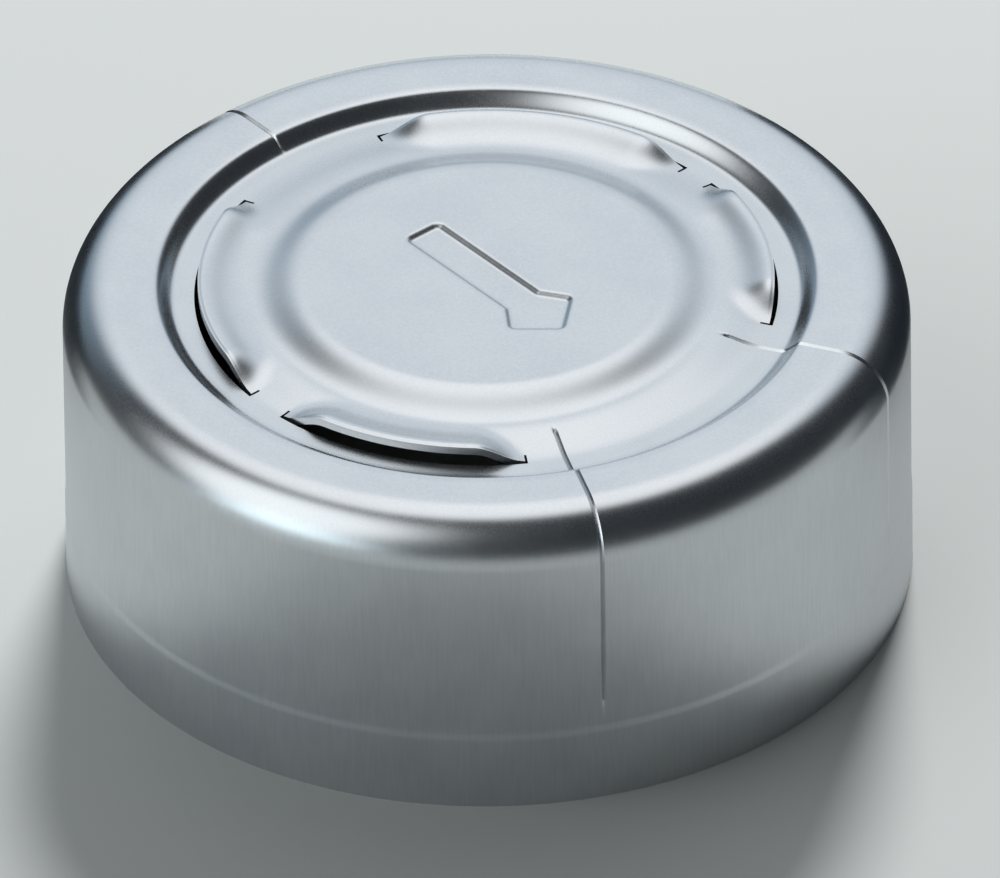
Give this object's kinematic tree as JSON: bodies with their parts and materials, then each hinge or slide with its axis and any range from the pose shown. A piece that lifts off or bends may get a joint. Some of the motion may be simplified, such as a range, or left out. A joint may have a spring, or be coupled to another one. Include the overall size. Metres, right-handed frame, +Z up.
{
  "type": "tear-off crimp seal",
  "caption": "Shallow round cup of thin satin aluminium with a rolled shoulder; the top has lifted strips, a stamped arrow and score lines for tearing it off.",
  "frame": {"origin": "centre of the open rim, on the surface the seal stands on", "axes": "+Z up along the seal's axis, away from the open rim; +X the way the tear tab pulls, midway between the two long score lines"},
  "size_m": [0.0206, 0.0206, 0.0084],
  "materials": {
    "aluminium_sheet": "satin, fine drawn grain"
  },
  "bodies": {
    "root": {"crimp_seal": "aluminium_sheet"}
  },
  "joints": []
}
